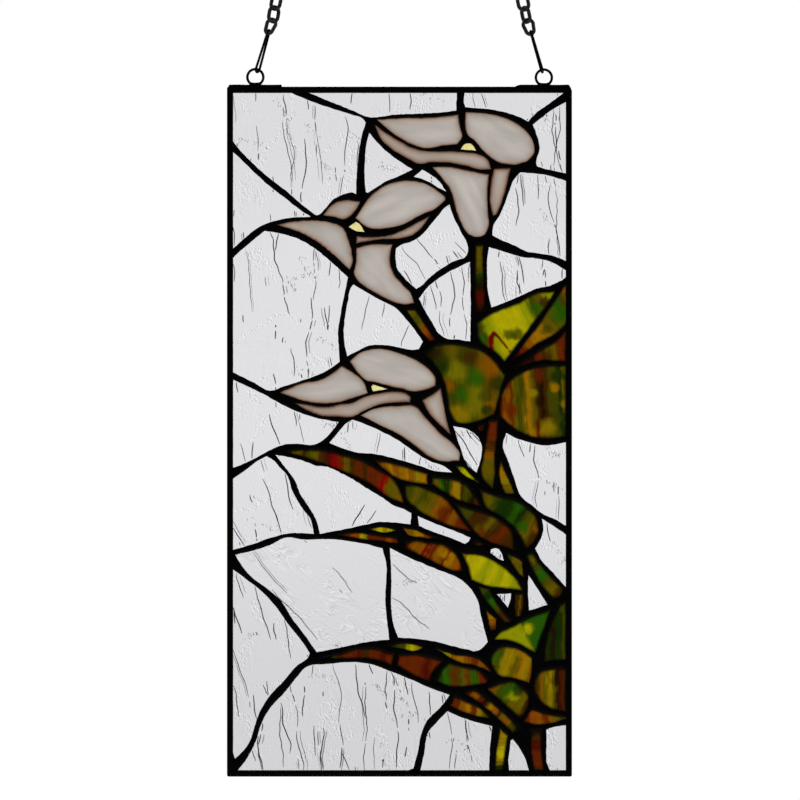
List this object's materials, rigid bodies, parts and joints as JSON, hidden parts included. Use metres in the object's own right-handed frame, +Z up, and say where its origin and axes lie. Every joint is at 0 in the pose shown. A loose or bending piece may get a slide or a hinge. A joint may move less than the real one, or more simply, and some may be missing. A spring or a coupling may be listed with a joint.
{
  "type": "hanging stained glass window panel",
  "caption": "Tall rectangular leaded glass panel in a slim dark metal frame, with white lilies and streaky leaves on clear textured glass, hung from rings and chains.",
  "frame": {"origin": "midway between the two top rings, at the height where they bear on their hooks, above the middle of the panel's width and depth", "axes": "+Z up, +X to the right seen from the front, the front faces -Y"},
  "size_m": [0.254, 0.0118, 0.5958],
  "materials": {
    "black_patina": "black patina on solder and zinc, slightly shiny",
    "chain_black": "blackened steel wire, satin",
    "glass_clear": "clear glass with a fine wavy texture, see-through",
    "glass_petal": "streaky opalescent white glass, brownish at the edges",
    "glass_spadix": "pale yellow opalescent glass",
    "glass_lime": "streaky yellow-green glass",
    "glass_olive": "streaky olive glass",
    "glass_green": "streaky deep green glass",
    "glass_amber": "streaky amber glass",
    "glass_rust": "streaky rust-red and amber glass",
    "glass_ruby": "streaky dark red glass",
    "glass_umber": "streaky dark brown glass"
  },
  "bodies": {
    "root": {"chain_left": "chain_black", "chain_right": "chain_black", "corner_plate_left": "black_patina", "corner_plate_right": "black_patina", "frame": "black_patina", "glass_clear_bottom_middle": "glass_clear", "glass_clear_bottom_right": "glass_clear", "glass_clear_centre_left": "glass_clear", "glass_clear_centre_right": "glass_clear", "glass_clear_centre_slope": "glass_clear", "glass_clear_centre_upper": "glass_clear", "glass_clear_left_leaf": "glass_clear", "glass_clear_left_lower": "glass_clear", "glass_clear_left_middle": "glass_clear", "glass_clear_left_upper": "glass_clear", "glass_clear_low_centre": "glass_clear", "glass_clear_low_left": "glass_clear", "glass_clear_right_leaf": "glass_clear", "glass_clear_right_lower": "glass_clear", "glass_clear_right_middle": "glass_clear", "glass_clear_right_stem": "glass_clear", "glass_clear_right_upper": "glass_clear", "glass_clear_slope_left": "glass_clear", "glass_clear_top_left": "glass_clear", "glass_clear_top_middle": "glass_clear", "glass_clear_top_right": "glass_clear", "glass_clear_under_leaf": "glass_clear", "glass_clear_under_lily": "glass_clear", "glass_leaf1_brown_heart": "glass_umber", "glass_leaf1_green_tip": "glass_green", "glass_leaf1_low_middle": "glass_olive", "glass_leaf1_tail": "glass_olive", "glass_leaf2_heart": "glass_rust", "glass_leaf2_lime_end": "glass_lime", "glass_leaf3_green_side": "glass_green", "glass_leaf3_lime_top": "glass_lime", "glass_leaf3_right_olive": "glass_amber", "glass_leaf3_yellow_heart": "glass_lime", "glass_leaf4_amber_side": "glass_amber", "glass_leaf4_green_side": "glass_green", "glass_leaf4_lime_top": "glass_lime", "glass_leaf4_olive_heart": "glass_olive", "glass_lily1_left_petal": "glass_petal", "glass_lily1_right_petal": "glass_petal", "glass_lily1_rim": "glass_petal", "glass_lily1_throat": "glass_petal", "glass_lily2_big_petal": "glass_petal", "glass_lily2_left_petal": "glass_petal", "glass_lily2_throat": "glass_petal", "glass_lily3_left_petal": "glass_petal", "glass_lily3_rim": "glass_petal", "glass_lily3_throat": "glass_petal", "glass_lily3_top_petal": "glass_petal", "hanging_ring_left": "black_patina", "hanging_ring_right": "black_patina", "leading": "black_patina", "top_ring_left": "chain_black", "top_ring_right": "chain_black", "wire_link_left": "black_patina", "wire_link_right": "black_patina"}
  },
  "joints": []
}
